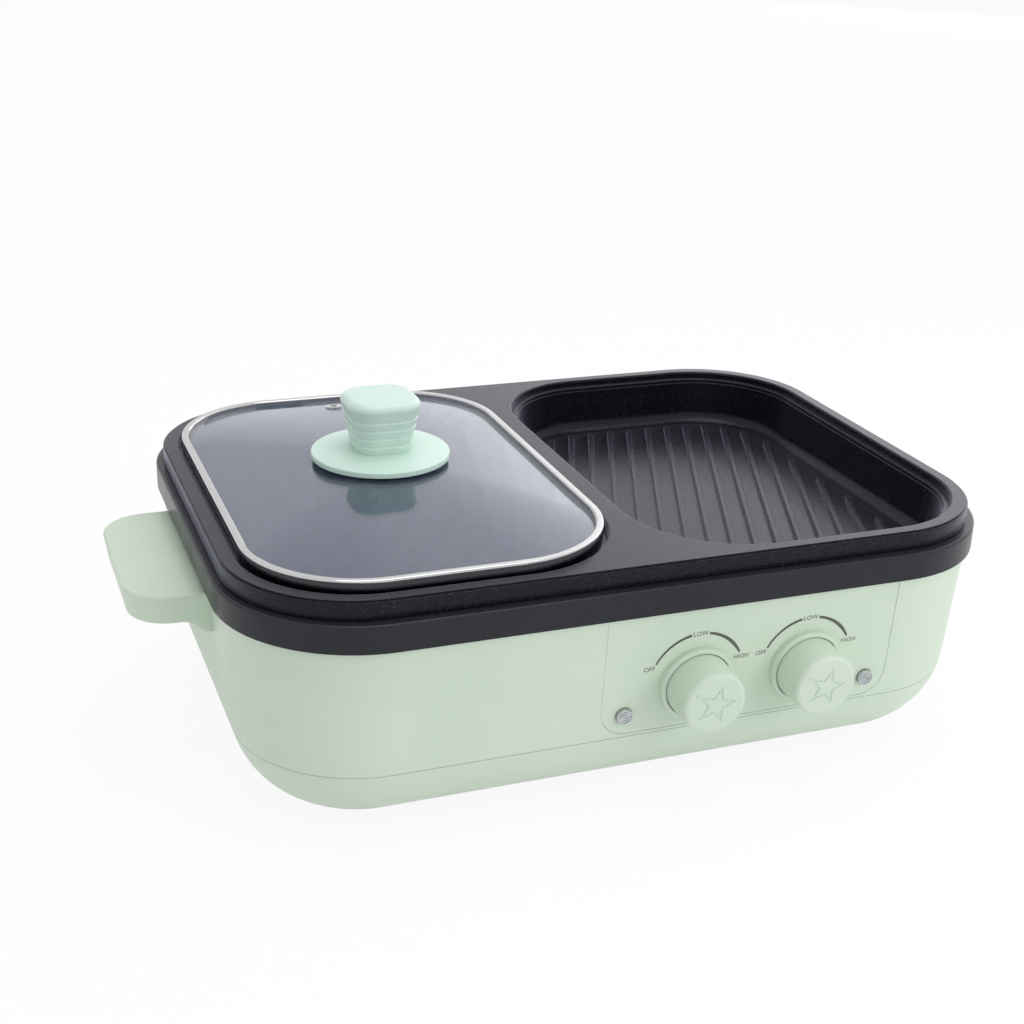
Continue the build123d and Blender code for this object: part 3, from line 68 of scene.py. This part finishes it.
class Finish:
    """A node material with a Principled shader and small helpers that add detail to it."""

    def __init__(self, name, **values):
        self.material = bpy.data.materials.new(name)
        self.material.use_nodes = True
        self.tree = self.material.node_tree
        self.shader = self.tree.nodes["Principled BSDF"]
        for socket, value in values.items():
            self.shader.inputs[socket.replace("_", " ")].default_value = value
        self.place = self.tree.nodes.new("ShaderNodeTexCoord").outputs["Object"]
        self.normal = None

    def node(self, kind, **values):
        """A new node of one kind, with properties or input sockets set by name."""
        made = self.tree.nodes.new(kind)
        for name, value in values.items():
            if hasattr(made, name):
                setattr(made, name, value)
            else:
                made.inputs[name.replace("_", " ")].default_value = value
        return made

    def link(self, source, target):
        self.tree.links.new(source, target)
        return source

    def noise(self, scale, detail=2.0, rough=0.5, stretch=None):
        """Noise on Object coordinates, cycles per metre, stretched along the axes if asked."""
        place = self.place
        if stretch is not None:
            mapping = self.node("ShaderNodeMapping")
            mapping.inputs["Scale"].default_value = stretch
            self.link(place, mapping.inputs["Vector"])
            place = mapping.outputs["Vector"]
        made = self.node("ShaderNodeTexNoise", Scale=scale, Detail=detail, Roughness=rough)
        self.link(place, made.inputs["Vector"])
        return made.outputs["Fac"]

    def remap(self, value, low, high, out_low, out_high):
        """Value from the range low..high to out_low..out_high, clamped."""
        made = self.node("ShaderNodeMapRange")
        for socket, number in (
            ("From Min", low), ("From Max", high), ("To Min", out_low), ("To Max", out_high)
        ):
            made.inputs[socket].default_value = number
        self.link(value, made.inputs["Value"])
        return made.outputs["Result"]

    def bump(self, height, strength, distance):
        """Adds a bump layer over the earlier ones; distance in metres."""
        made = self.node("ShaderNodeBump", Strength=strength, Distance=distance)
        self.link(height, made.inputs["Height"])
        if self.normal is not None:
            self.link(self.normal, made.inputs["Normal"])
        self.normal = made.outputs["Normal"]
        self.link(self.normal, self.shader.inputs["Normal"])

    def roughness(self, value):
        self.link(value, self.shader.inputs["Roughness"])

    def colour(self, value, first, second):
        """Base colour blended from first to second by value."""
        made = self.node("ShaderNodeMix", data_type="RGBA")
        colour_a = [s for s in made.inputs if s.name == "A" and s.type == "RGBA"][0]
        colour_b = [s for s in made.inputs if s.name == "B" and s.type == "RGBA"][0]
        colour_a.default_value = first
        colour_b.default_value = second
        self.link(value, made.inputs["Factor"])
        result = [s for s in made.outputs if s.type == "RGBA"][0]
        self.link(result, self.shader.inputs["Base Color"])
        return result


def moulded(name, base, shade, rough, gloss):
    """Satin moulded plastic: faint colour drift, fine spark-eroded grain, uneven gloss, rubbed spots."""
    made = Finish(name, Roughness=rough)
    made.shader.inputs["Specular IOR Level"].default_value = gloss
    made.colour(made.remap(made.noise(14.0, 3.0), 0.35, 0.65, 0.0, 1.0), base, shade)
    worn = made.noise(46.0, 5.0, 0.62)
    made.roughness(made.remap(worn, 0.3, 0.7, rough - 0.05, rough + 0.07))
    made.bump(made.noise(2600.0, 2.0), 0.06, 0.0002)
    return made.material


def trim_moulding(name, base, shade, rough):
    """Dark moulded plastic like the housing's, with the mould's parting line upright on the front."""
    made = Finish(name, Roughness=rough)
    made.shader.inputs["Specular IOR Level"].default_value = 0.22
    made.colour(made.remap(made.noise(14.0, 3.0), 0.35, 0.65, 0.0, 1.0), base, shade)
    made.roughness(made.remap(made.noise(46.0, 5.0, 0.62), 0.3, 0.7, rough - 0.04, rough + 0.06))
    made.bump(made.noise(2600.0, 2.0), 0.05, 0.0002)
    parts = made.node("ShaderNodeSeparateXYZ")
    made.link(made.place, parts.inputs[0])
    off = made.node("ShaderNodeMath", operation="SUBTRACT")
    made.link(parts.outputs["X"], off.inputs[0])
    off.inputs[1].default_value = PARTING_X * MM
    away = made.node("ShaderNodeMath", operation="ABSOLUTE")
    made.link(off.outputs[0], away.inputs[0])
    line = made.remap(away.outputs[0], 0.0, PARTING_HALF_WIDTH * MM, 1.0, 0.0)
    front_start, front_end = (2.0 - TRIM_FRONT) * MM, (1.0 - TRIM_FRONT) * MM
    front = made.remap(parts.outputs["Y"], front_start, front_end, 1.0, 0.0)
    both = made.node("ShaderNodeMath", operation="MULTIPLY")
    made.link(line, both.inputs[0])
    made.link(front, both.inputs[1])
    made.bump(both.outputs[0], 0.35, PARTING_DEPTH * MM)
    return made.material


def coated(name):
    """Speckled non-stick coating: near-black with fine grey flecks, orange peel and rubbed patches."""
    made = Finish(name)
    made.shader.inputs["Specular IOR Level"].default_value = 0.24
    made.shader.inputs["Specular Tint"].default_value = (0.80, 0.82, 1.0, 1.0)
    made.shader.inputs["Sheen Weight"].default_value = 0.5
    made.shader.inputs["Sheen Roughness"].default_value = 0.3
    made.shader.inputs["Sheen Tint"].default_value = (0.70, 0.70, 1.0, 1.0)
    fleck = made.remap(made.noise(2100.0, 2.0, 0.6), 0.63, 0.72, 0.0, 1.0)
    made.colour(fleck, linear(13, 13, 17), linear(92, 92, 102))
    rubbed = made.noise(38.0, 5.0, 0.6)
    made.roughness(made.remap(rubbed, 0.3, 0.7, 0.255, 0.295))
    made.bump(made.noise(1300.0, 3.0), 0.22, 0.0003)
    return made.material


def steel(name, rough, bright):
    """Polished stainless steel with faint drawn streaks and fine handling marks."""
    made = Finish(name, Metallic=1.0, Roughness=rough)
    streak = made.noise(500.0, 3.0, 0.5, (1.0, 1.0, 6.0))
    tone = (bright, bright, bright * 1.01, 1.0)
    dull = tuple(0.92 * c for c in tone[:3]) + (1.0,)
    made.colour(made.remap(streak, 0.3, 0.7, 0.0, 1.0), tone, dull)
    made.roughness(made.remap(made.noise(240.0, 4.0, 0.6), 0.3, 0.7, rough * 0.7, rough * 1.6))
    return made.material


def clear_glass(name):
    """Tempered glass with a cool tint and a faint haze, polished, with the slightest smears."""
    made = Finish(name, Roughness=0.0, IOR=1.62)
    made.shader.inputs["Transmission Weight"].default_value = 0.92
    made.shader.inputs["Coat Weight"].default_value = 0.1
    made.shader.inputs["Coat Roughness"].default_value = 0.0
    tint = made.remap(made.noise(9.0, 1.0), 0.3, 0.7, 0.0, 1.0)
    made.colour(tint, linear(196, 208, 240), linear(190, 203, 236))
    made.roughness(made.remap(made.noise(24.0, 3.0, 0.5), 0.6, 0.85, 0.0, 0.006))
    return made.material


def plain(name, base, rough, metallic=0.0):
    """Simple hidden piece: a colour with fine grain in tone, gloss and relief."""
    made = Finish(name, Roughness=rough, Metallic=metallic)
    dark = tuple(0.8 * c for c in base[:3]) + (1.0,)
    value = made.noise(1200.0, 3.0)
    made.colour(made.remap(value, 0.35, 0.65, 0.0, 1.0), base, dark)
    made.roughness(made.remap(value, 0.3, 0.7, rough * 0.85, min(1.0, rough * 1.2)))
    made.bump(value, 0.1, 0.0002)
    return made.material


SAGE = moulded("sage_plastic", linear(206, 221, 204), linear(202, 218, 200), 0.40, 0.4)
MINT = moulded("mint_plastic", linear(206, 229, 219), linear(202, 226, 215), 0.34, 0.4)
TRIM = trim_moulding("trim_plastic", linear(41, 42, 49), linear(38, 39, 45), 0.28)
TRAY = coated("coated_tray")
STEEL = steel("rim_steel", 0.06, 0.56)
GLASS = clear_glass("lid_glass")
RUBBER = plain("black_rubber", linear(40, 40, 40), 0.7)
ZINC = plain("zinc_plate", (0.6, 0.6, 0.6, 1), 0.35, 1.0)
SHEET = plain("aluminium_sheet", (0.75, 0.75, 0.76, 1), 0.4, 1.0)
SHEATH = plain("element_sheath", (0.22, 0.21, 0.2, 1), 0.45, 1.0)
CERAMIC = plain("glazed_ceramic", linear(232, 226, 214), 0.25)
PHENOLIC = plain("black_phenolic", linear(34, 34, 34), 0.5)
BRASS = plain("brass", (0.7, 0.52, 0.22, 1), 0.3, 1.0)
LENS = plain("silvered_lens", linear(196, 200, 202), 0.12, 0.75)
NEON = plain("neon_lamp", linear(235, 150, 110), 0.3)
SLEEVE = plain("white_sleeve", linear(226, 226, 222), 0.6)
PRINT = plain("dial_print", linear(92, 95, 84), 0.55)

NODE_FINISH = {
    "housing": SAGE, "bottom_cover": SAGE, "control_panel": SAGE, "left_handle": SAGE, "right_handle": SAGE,
    "control_knob_left": SAGE, "control_knob_right": SAGE, "knob_disc": MINT, "lid_knob": MINT,
    "trim_ring": TRIM, "cooking_tray": TRAY, "lid_rim": STEEL, "lid_glass": GLASS, "feet": RUBBER,
    "lid_gasket": RUBBER, "vent_grommet": STEEL, "trim_screws": ZINC, "cover_screws": ZINC,
    "thermostat_screws": ZINC, "handle_screws": ZINC, "shield_screws": ZINC, "lid_screw": ZINC,
    "lid_washer": ZINC, "thermostat_shaft_left": ZINC, "thermostat_shaft_right": ZINC,
    "pot_heat_shield": SHEET, "grill_heat_shield": SHEET, "thermal_cutoffs": SHEET,
    "pot_element": SHEATH, "grill_element": SHEATH, "element_clips": SHEATH,
    "element_bushes": CERAMIC, "terminal_block": CERAMIC, "thermostat_left": PHENOLIC,
    "thermostat_right": PHENOLIC, "power_inlet": PHENOLIC, "thermostat_tabs": BRASS, "inlet_pins": BRASS,
    "indicator_lens_left": LENS, "indicator_lens_right": LENS, "indicator_lamps": NEON, "wiring": SLEEVE,
}
for node_name, finish in NODE_FINISH.items():
    mesh = nodes[node_name].data
    mesh.materials.clear()
    mesh.materials.append(finish)


# ---------------------------------------------------------------- pieces
def ride_on_base(made):
    """The print belongs to the panel, so it rides on the base."""
    bpy.context.scene.collection.objects.link(made)
    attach(made, "base")


def piece(name, points, faces, finish):
    """Flat mesh object on the base, from points in metres and faces."""
    mesh = bpy.data.meshes.new(name)
    mesh.from_pydata([tuple(p) for p in points], [], [tuple(f) for f in faces])
    mesh.materials.append(finish)
    mesh.polygons.foreach_set("use_smooth", np.full(len(mesh.polygons), False))
    ride_on_base(bpy.data.objects.new(name, mesh))


def wall_frame(x, z, proud):
    """Matrix from the front wall's plane, x right and y up, to the object's frame, moved out by proud."""
    outward = np.array([0.0, -np.cos(WALL_DRAFT), -np.sin(WALL_DRAFT)])
    upward = np.array([0.0, -np.sin(WALL_DRAFT), np.cos(WALL_DRAFT)])
    wall = WALL_AT_TRIM - (TRIM_UNDER - z) * np.tan(WALL_DRAFT)
    origin = np.array([x, -wall, z]) + outward * proud
    matrix = Matrix.Identity(4)
    for row in range(3):
        matrix[row][0] = (1.0, 0.0, 0.0)[row]
        matrix[row][1] = upward[row]
        matrix[row][2] = outward[row]
        matrix[row][3] = origin[row] * MM
    return matrix


def print_arc(name, centre_x, centre_z, start, end, widths):
    """Printed arc: a strip along a circle, with its widths at the start, at two thirds and at the end.

    Point i of the inner edge is at radius - width / 2 and of the outer edge at radius + width / 2, both
    at the angle that goes evenly from start to end, in degrees from the right.
    """
    turn = np.radians(np.linspace(start, end, ARC_POINTS))
    half = np.interp(np.linspace(0.0, 1.0, ARC_POINTS), (0.0, 0.66, 1.0), widths) / 2
    around = np.stack([np.cos(turn), np.sin(turn)], axis=1)
    flat = np.concatenate([(ARC_RADIUS + side * half)[:, None] * around for side in (-1, 1)])
    place = np.array(wall_frame(centre_x, centre_z, PRINT_LIFT - PANEL_RECESS))
    points = flat[:, :1] * MM * place[:3, 0] + flat[:, 1:] * MM * place[:3, 1] + place[:3, 3]
    inner = np.arange(ARC_POINTS - 1)
    faces = np.stack([inner, inner + 1, inner + ARC_POINTS + 1, inner + ARC_POINTS], axis=1)
    piece(name, points, faces.tolist(), PRINT)


def print_word(name, word, centre_x, centre_z, distance, degrees):
    """Printed word, centred this far from the dial's centre in this direction, flat on the panel."""
    curve = bpy.data.curves.new(name + "_curve", "FONT")
    curve.body = word
    curve.align_x = "CENTER"
    curve.align_y = "CENTER"
    curve.size = LETTER_HEIGHT * MM / CAPITAL_SHARE
    curve.resolution_u = 3
    source = bpy.data.objects.new(name + "_source", curve)
    bpy.context.scene.collection.objects.link(source)
    bpy.context.view_layer.update()
    mesh = bpy.data.meshes.new_from_object(source)
    bpy.data.objects.remove(source)
    mesh.name = name
    mesh.materials.clear()
    mesh.materials.append(PRINT)
    place = wall_frame(centre_x, centre_z, PRINT_LIFT - PANEL_RECESS)
    right = distance * np.cos(np.radians(degrees))
    up = distance * np.sin(np.radians(degrees))
    mesh.transform(place @ Matrix.Translation((right * MM, up * MM, 0.0)))
    ride_on_base(bpy.data.objects.new(name, mesh))


for side, dial_x in zip(("left", "right"), DIAL_CENTRES):
    level = DIAL_LEVEL + PRINT_RISE
    print_arc("print_low_arc_" + side, dial_x, level, 153.8, 101.0, (1.0, 1.4, 1.5))
    print_arc("print_high_arc_" + side, dial_x, level, 79.0, 27.0, (1.4, 1.9, 1.1))
    print_word("print_off_" + side, "OFF", dial_x, level, 28.3, 161.0)
    print_word("print_low_" + side, "LOW", dial_x, level, 25.8, 90.0)
    print_word("print_high_" + side, "HIGH", dial_x, level, 26.2, 20.5)


# ---------------------------------------------------------------- floor, light and camera
FLOOR_HALF_WIDTH = 6.0

# rear bank of lamps, in metres
BANK_REACH = 5.5
BANK_SIDE = (0.707, 0.707)  # towards the bank, seen from above
BANK_BASE = 0.05
BANK_ROW = 1.45  # height of one row

# the camera's focal length and frame in pixels, its sensor in millimetres, and how it stands
FOCAL_PIXELS = 1579.618
FRAME_PIXELS = 1024
SENSOR_WIDTH = 36.0
CAMERA_RIGHT = (0.936271, -0.350002, 0.029925)
CAMERA_UP = (0.10623, 0.363309, 0.925593)
CAMERA_BACK = (-0.334831, -0.863427, 0.377336)
CAMERA_PLACE = (-0.324307, -0.771688, 0.446967)


def placed(right, up, back, place):
    """Matrix of an object with its own x, y and z axes along right, up and back, standing at place."""
    matrix = Matrix.Identity(4)
    for row in range(3):
        matrix[row][:] = (right[row], up[row], back[row], place[row])
    return matrix


def stage_floor(share):
    """Wide white floor: lit paper, with this share of plain white mixed in where a view sees it."""
    half = FLOOR_HALF_WIDTH
    mesh = bpy.data.meshes.new("floor")
    corners = [(-half, -half, 0), (half, -half, 0), (half, half, 0), (-half, half, 0)]
    mesh.from_pydata(corners, [], [(0, 1, 2, 3)])
    floor = bpy.data.objects.new("floor", mesh)
    bpy.context.scene.collection.objects.link(floor)
    made = Finish("floor_paper", Roughness=0.95)
    made.shader.inputs["Specular IOR Level"].default_value = 0.0
    drift = made.remap(made.noise(3.0, 2.0), 0.3, 0.7, 0.0, 1.0)
    made.colour(drift, (0.94, 0.94, 0.94, 1.0), (0.95, 0.95, 0.95, 1.0))
    white = made.node("ShaderNodeEmission", Color=(1, 1, 1, 1), Strength=1.0)
    mix = made.node("ShaderNodeMixShader")
    amount = made.node("ShaderNodeMath", operation="MULTIPLY")
    made.link(seen_from_outside(made.tree), amount.inputs[0])
    amount.inputs[1].default_value = share
    made.link(amount.outputs[0], mix.inputs[0])
    made.link(made.shader.outputs[0], mix.inputs[1])
    made.link(white.outputs[0], mix.inputs[2])
    made.link(mix.outputs[0], made.tree.nodes["Material Output"].inputs["Surface"])
    mesh.materials.append(made.material)


def seen_from_outside(tree):
    """Socket that is 1 for camera, glossy and transmission rays, which show a surface, and 0 for light."""
    path = tree.nodes.new("ShaderNodeLightPath")
    first = tree.nodes.new("ShaderNodeMath")
    second = tree.nodes.new("ShaderNodeMath")
    first.operation = second.operation = "MAXIMUM"
    tree.links.new(path.outputs["Is Camera Ray"], first.inputs[0])
    tree.links.new(path.outputs["Is Glossy Ray"], first.inputs[1])
    tree.links.new(first.outputs[0], second.inputs[0])
    tree.links.new(path.outputs["Is Transmission Ray"], second.inputs[1])
    return second.outputs[0]


def white_world(fill):
    """World that is white to the camera, to gloss and through glass, and gives an even fill of light."""
    world = bpy.data.worlds.new("white_room")
    bpy.context.scene.world = world
    world.use_nodes = True
    tree = world.node_tree
    tree.nodes.clear()
    output = tree.nodes.new("ShaderNodeOutputWorld")
    mix = tree.nodes.new("ShaderNodeMixShader")
    tree.links.new(seen_from_outside(tree), mix.inputs[0])
    for slot, strength in ((1, fill), (2, 1.0)):
        shade = tree.nodes.new("ShaderNodeBackground")
        shade.inputs["Color"].default_value = (1.0, 1.0, 1.0, 1.0)
        shade.inputs["Strength"].default_value = strength
        tree.links.new(shade.outputs[0], mix.inputs[slot])
    tree.links.new(mix.outputs[0], output.inputs[0])


def softbox(name, place, target, width, height, power, mirrored=False):
    """Large rectangular lamp at place, facing target; glass and metal mirror it only if asked."""
    lamp = bpy.data.lights.new(name, "AREA")
    lamp.shape = "RECTANGLE"
    lamp.size = width
    lamp.size_y = height
    lamp.energy = power
    made = bpy.data.objects.new(name, lamp)
    bpy.context.scene.collection.objects.link(made)
    made.visible_camera = False
    made.visible_glossy = mirrored
    made.visible_transmission = False
    away = np.array(place, float) - np.array(target, float)
    away /= np.linalg.norm(away)
    right = np.cross((0.0, 0.0, 1.0), away)
    right /= np.linalg.norm(right)
    up = np.cross(away, right)
    made.matrix_world = placed(right, up, away, place)


def rear_bank(levels, columns):
    """Upright bank of lamps behind on the right, mirrored as a soft gradient.

    A lamp's strength is its row's level, rows from the floor up, times its column's share. A column
    is given by its two sides, in metres to the left of the bank's middle, and its share.
    """
    for row, level in enumerate(levels):
        height = BANK_BASE + BANK_ROW * (row + 0.5)
        for column, (start, end, share) in enumerate(columns):
            middle = (start + end) / 2
            place = (
                BANK_REACH * BANK_SIDE[0] - middle * BANK_SIDE[1],
                BANK_REACH * BANK_SIDE[1] + middle * BANK_SIDE[0],
                height,
            )
            power = level * share * np.pi * (end - start) * BANK_ROW
            target = (place[0] - BANK_SIDE[0], place[1] - BANK_SIDE[1], height)
            softbox("rear_lamp_%d_%d" % (row, column), place, target, end - start, BANK_ROW, power, True)


stage_floor(0.9)
white_world(0.66)
softbox("top_lamp", (0.1, -0.05, 1.55), (0.0, 0.0, 0.1), 1.2, 0.9, 7.0, True)
rear_bank(
    (0.96, 0.92, 0.86, 0.78, 0.68),
    (
        (-3.2, 0.9, 0.97), (0.9, 1.2, 0.88), (1.2, 1.5, 0.78), (1.5, 1.8, 0.65), (1.8, 2.1, 0.54),
        (2.1, 2.4, 0.42), (2.4, 2.7, 0.3), (2.7, 3.0, 0.18), (3.0, 3.3, 0.08),
    ),
)
softbox("front_lamp", (1.1, -1.3, 0.75), (0.0, 0.0, 0.08), 1.0, 0.8, 8.0)

camera = bpy.data.cameras.new("view_camera")
camera.sensor_width = SENSOR_WIDTH
camera.lens = FOCAL_PIXELS / FRAME_PIXELS * SENSOR_WIDTH
camera.clip_end = 20.0
viewer = bpy.data.objects.new("view_camera", camera)
bpy.context.scene.collection.objects.link(viewer)
viewer.matrix_world = placed(CAMERA_RIGHT, CAMERA_UP, CAMERA_BACK, CAMERA_PLACE)
bpy.context.scene.camera = viewer
bpy.context.scene.view_settings.view_transform = "Standard"
